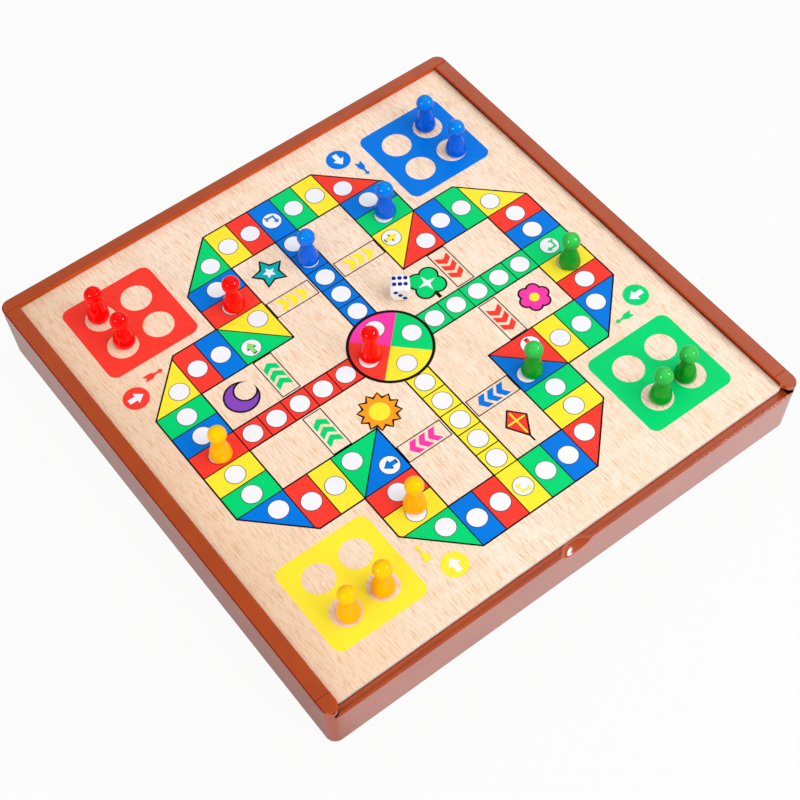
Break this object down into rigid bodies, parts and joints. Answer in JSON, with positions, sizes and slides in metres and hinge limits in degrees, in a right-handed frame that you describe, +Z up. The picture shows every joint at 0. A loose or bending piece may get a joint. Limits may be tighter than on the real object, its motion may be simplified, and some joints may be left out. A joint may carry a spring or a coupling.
{
  "type": "multi-game board set",
  "caption": "Shallow brown case whose rails hold a sliding printed game board with pawns and a die on it; dividers, draughtsmen and a spare board inside.",
  "frame": {"origin": "under the middle of the case, on the surface it stands on", "axes": "+Z up, +X along the front edge, +Y to the back; the board slides out towards -Y"},
  "size_m": [0.295, 0.2959, 0.0571],
  "materials": {
    "case": "moulded, glossy brown",
    "divider": "satin",
    "board": "pale beech print under clear lacquer",
    "pawn_red": "gloss",
    "pawn_blue": "gloss",
    "pawn_green": "gloss",
    "pawn_yellow": "gloss",
    "die": "gloss, navy pips",
    "draught_light": "lacquered, pale",
    "draught_dark": "lacquered, dark stain",
    "ink_red": "printed ink",
    "ink_blue": "printed ink",
    "ink_green": "printed ink",
    "ink_yellow": "printed ink",
    "ink_pink": "printed ink",
    "ink_black": "printed ink",
    "ink_white": "printed ink"
  },
  "bodies": {
    "case": {"case_tray": "case", "left_rail": "case", "right_rail": "case", "back_rail": "case", "divider_front": "divider", "divider_rear": "divider", "divider_pawns_left": "divider", "divider_pawns_middle": "divider", "divider_pawns_right": "divider", "divider_draughts": "divider", "spare_board": "board", "draught_light_1": "draught_light", "draught_light_2": "draught_light", "draught_light_3": "draught_light", "draught_light_4": "draught_light", "draught_light_5": "draught_light", "draught_light_6": "draught_light", "draught_light_7": "draught_light", "draught_light_8": "draught_light", "draught_light_9": "draught_light", "draught_light_10": "draught_light", "draught_light_11": "draught_light", "draught_light_12": "draught_light", "draught_dark_1": "draught_dark", "draught_dark_2": "draught_dark", "draught_dark_3": "draught_dark", "draught_dark_4": "draught_dark", "draught_dark_5": "draught_dark", "draught_dark_6": "draught_dark", "draught_dark_7": "draught_dark", "draught_dark_8": "draught_dark", "draught_dark_9": "draught_dark", "draught_dark_10": "draught_dark", "draught_dark_11": "draught_dark", "draught_dark_12": "draught_dark"},
    "board": {"game_board": "board"},
    "pawn_red_1": {"pawn_red_1": "pawn_red"},
    "pawn_red_2": {"pawn_red_2": "pawn_red"},
    "pawn_red_3": {"pawn_red_3": "pawn_red"},
    "pawn_red_4": {"pawn_red_4": "pawn_red"},
    "pawn_blue_1": {"pawn_blue_1": "pawn_blue"},
    "pawn_blue_2": {"pawn_blue_2": "pawn_blue"},
    "pawn_blue_3": {"pawn_blue_3": "pawn_blue"},
    "pawn_blue_4": {"pawn_blue_4": "pawn_blue"},
    "pawn_green_1": {"pawn_green_1": "pawn_green"},
    "pawn_green_2": {"pawn_green_2": "pawn_green"},
    "pawn_green_3": {"pawn_green_3": "pawn_green"},
    "pawn_green_4": {"pawn_green_4": "pawn_green"},
    "pawn_yellow_1": {"pawn_yellow_1": "pawn_yellow"},
    "pawn_yellow_2": {"pawn_yellow_2": "pawn_yellow"},
    "pawn_yellow_3": {"pawn_yellow_3": "pawn_yellow"},
    "pawn_yellow_4": {"pawn_yellow_4": "pawn_yellow"},
    "die": {"die": "die"}
  },
  "joints": [
    {"name": "board_slide", "type": "slide", "parent": "case", "child": "board", "axis": [0, -1, 0], "range_m": [0, 0.29]},
    {"name": "lift_pawn_red_1", "type": "slide", "parent": "board", "child": "pawn_red_1", "axis": [0, 0, 1], "range_m": [0, 0.06]},
    {"name": "lift_pawn_red_2", "type": "slide", "parent": "board", "child": "pawn_red_2", "axis": [0, 0, 1], "range_m": [0, 0.06]},
    {"name": "lift_pawn_red_3", "type": "slide", "parent": "board", "child": "pawn_red_3", "axis": [0, 0, 1], "range_m": [0, 0.06]},
    {"name": "lift_pawn_red_4", "type": "slide", "parent": "board", "child": "pawn_red_4", "axis": [0, 0, 1], "range_m": [0, 0.06]},
    {"name": "lift_pawn_blue_1", "type": "slide", "parent": "board", "child": "pawn_blue_1", "axis": [0, 0, 1], "range_m": [0, 0.06]},
    {"name": "lift_pawn_blue_2", "type": "slide", "parent": "board", "child": "pawn_blue_2", "axis": [0, 0, 1], "range_m": [0, 0.06]},
    {"name": "lift_pawn_blue_3", "type": "slide", "parent": "board", "child": "pawn_blue_3", "axis": [0, 0, 1], "range_m": [0, 0.06]},
    {"name": "lift_pawn_blue_4", "type": "slide", "parent": "board", "child": "pawn_blue_4", "axis": [0, 0, 1], "range_m": [0, 0.06]},
    {"name": "lift_pawn_green_1", "type": "slide", "parent": "board", "child": "pawn_green_1", "axis": [0, 0, 1], "range_m": [0, 0.06]},
    {"name": "lift_pawn_green_2", "type": "slide", "parent": "board", "child": "pawn_green_2", "axis": [0, 0, 1], "range_m": [0, 0.06]},
    {"name": "lift_pawn_green_3", "type": "slide", "parent": "board", "child": "pawn_green_3", "axis": [0, 0, 1], "range_m": [0, 0.06]},
    {"name": "lift_pawn_green_4", "type": "slide", "parent": "board", "child": "pawn_green_4", "axis": [0, 0, 1], "range_m": [0, 0.06]},
    {"name": "lift_pawn_yellow_1", "type": "slide", "parent": "board", "child": "pawn_yellow_1", "axis": [0, 0, 1], "range_m": [0, 0.06]},
    {"name": "lift_pawn_yellow_2", "type": "slide", "parent": "board", "child": "pawn_yellow_2", "axis": [0, 0, 1], "range_m": [0, 0.06]},
    {"name": "lift_pawn_yellow_3", "type": "slide", "parent": "board", "child": "pawn_yellow_3", "axis": [0, 0, 1], "range_m": [0, 0.06]},
    {"name": "lift_pawn_yellow_4", "type": "slide", "parent": "board", "child": "pawn_yellow_4", "axis": [0, 0, 1], "range_m": [0, 0.06]},
    {"name": "lift_die", "type": "slide", "parent": "board", "child": "die", "axis": [0, 0, 1], "range_m": [0, 0.06]}
  ]
}
